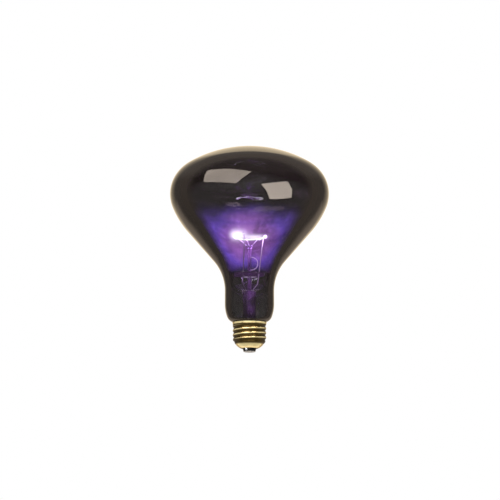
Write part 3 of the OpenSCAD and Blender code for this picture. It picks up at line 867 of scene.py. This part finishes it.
def base_card(name, place, size, power, *lit):
    """A white card seen in the gloss of the named pieces of the base alone."""
    card = lamp(name, place, (0, 0, BASE_H / 2 * MM), size, power)
    card.visible_glossy = True
    card.visible_diffuse = False
    only = bpy.data.collections.new(name)
    for lit_piece in lit:
        only.objects.link(bpy.data.objects[lit_piece])
    card.light_linking.receiver_collection = only


def lamp(name, place, target, size, power):
    """A soft light that shines on a target and isn't seen in gloss."""
    data = bpy.data.lights.new(name, "AREA")
    data.size = size
    data.energy = power
    made = bpy.data.objects.new(name, data)
    made.location = place
    made.rotation_euler = (Vector(target) - Vector(place)).to_track_quat("-Z", "Y").to_euler()
    bpy.context.collection.objects.link(made)
    made.visible_camera = False
    made.visible_glossy = False
    return made


def lay_floor():
    """A wide pale floor below the camera; gloss sees it dark, and warm behind the lamp."""
    finish = Finish("pale floor")
    ray = finish.node("LightPath", {}, {}, "Is Camera Ray")
    gloss = finish.node("LightPath", {}, {}, "Is Glossy Ray")
    through = finish.node("LightPath", {}, {}, "Is Transmission Ray")
    distance = (finish.along("X") ** 2 + finish.along("Y") ** 2) ** 0.5
    white = finish.node("BsdfDiffuse", {}, {"Color": rgb(0.82, 0.81, 0.79)})
    pale = finish.node("Emission", {}, {"Color": finish.scaled(WHITE, 0.85 * (ray + through))})
    lit = finish.node("AddShader", {}, {0: white, 1: pale})
    behind = finish.step(finish.along("Y") / distance, 0.62, 0.8)
    glossed = finish.mix(behind, rgb(0.05, 0.048, 0.045), rgb(0.52, 0.42, 0.33))
    patch = finish.node("Emission", {}, {"Color": glossed})
    finish.close(finish.node("MixShader", {}, {0: gloss, 1: lit, 2: patch}))
    bm = bmesh.new()
    bmesh.ops.create_grid(bm, x_segments=1, y_segments=1, size=FLOOR_HALF)
    bmesh.ops.translate(bm, verts=bm.verts, vec=(0, 0, FLOOR_Z))
    mesh = bpy.data.meshes.new("floor")
    bm.to_mesh(mesh)
    bm.free()
    mesh.materials.append(finish.material)
    floor = bpy.data.objects.new("floor", mesh)
    bpy.context.collection.objects.link(floor)


def light_room():
    """White round the camera's view; gloss sees a warm backdrop in a dark room."""
    world = bpy.data.worlds.new("room")
    bpy.context.scene.world = world
    finish = Finish("room", world)
    ray = finish.node("LightPath", {}, {}, "Is Camera Ray")
    through = finish.node("LightPath", {}, {}, "Is Transmission Ray")
    gloss = finish.node("LightPath", {}, {}, "Is Glossy Ray")
    direction = finish.node("TexCoord", {}, {}, "Generated")
    side = finish.node("SeparateXYZ", {}, {0: direction}, "X")
    depth = finish.node("SeparateXYZ", {}, {0: direction}, "Y")
    height = finish.node("SeparateXYZ", {}, {0: direction}, "Z")
    ahead = depth / (side * side + depth * depth) ** 0.5
    middle = 0.42 * finish.step(ahead, 0.66, 0.88) + 0.58 * finish.step(ahead, 0.85, 1.0)
    backdrop = middle * (1 - finish.step(height, 0.73, 0.81))
    ceiling = finish.step(height, 0.3, 0.6)
    dark_room = finish.mix(ceiling, rgb(0.06, 0.057, 0.053), rgb(0.24, 0.22, 0.2))
    seen = finish.mix(backdrop, dark_room, rgb(1.25, 1.02, 0.7))
    colour = finish.mix(gloss, rgb(0.6, 0.6, 0.6), seen)
    colour = finish.mix(ray + through, colour, WHITE)
    finish.close(finish.node("Background", {}, {"Color": colour}))


def place_lights():
    """Soft boxes for the dome, soft lights, and cards for the gloss of the base."""
    panel("left_soft_box", LEFT_BOX, SOFT_BOX_TINT, 7.0)
    panel("right_soft_box", RIGHT_BOX, SOFT_BOX_TINT, 9.8)
    for name, place, size, power in SOFT_LIGHTS:
        lamp(name, place, LAMP_MIDDLE, size, power)
    for card in SHELL_CARDS:
        base_card(*card, "rolled_brass_shell", "contact_disc")
    base_card(*INSULATOR_CARD, "insulator_glass")


def light_filament():
    """Violet light from the filament on what stands round it."""
    data = bpy.data.lights.new("filament_light", "POINT")
    data.energy = 0.15
    data.color = (0.62, 0.35, 1.0)
    data.shadow_soft_size = 0.008
    made = bpy.data.objects.new("filament_light", data)
    made.location = (0, 0, (RING_Z + 2) * MM)
    bpy.context.collection.objects.link(made)
    made.visible_glossy = False
    made.visible_camera = False


def set_camera():
    """The camera stands a little below the lamp and looks up at it."""
    data = bpy.data.cameras.new("camera")
    data.lens = CAMERA_LENS
    data.sensor_width = CAMERA_SENSOR
    data.shift_x, data.shift_y = CAMERA_SHIFT
    data.clip_start = CAMERA_CLIP
    camera = bpy.data.objects.new("camera", data)
    camera.location = CAMERA_PLACE
    aim = Vector(CAMERA_AIM) - camera.location
    camera.rotation_euler = aim.to_track_quat("-Z", "Y").to_euler()
    bpy.context.collection.objects.link(camera)
    bpy.context.scene.camera = camera


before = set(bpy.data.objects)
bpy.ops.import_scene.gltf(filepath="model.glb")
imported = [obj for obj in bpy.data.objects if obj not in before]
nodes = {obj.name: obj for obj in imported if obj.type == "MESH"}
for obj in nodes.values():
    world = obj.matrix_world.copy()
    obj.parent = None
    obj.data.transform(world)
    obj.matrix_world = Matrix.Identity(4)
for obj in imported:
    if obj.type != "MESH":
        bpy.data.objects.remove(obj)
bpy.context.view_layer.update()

blow_bulb()
roll_shell()
make_base()
make_rod()
wind_filament()
make_mount()
lay_floor()
light_room()
place_lights()
light_filament()
set_camera()
bpy.context.scene.view_settings.view_transform = "Standard"
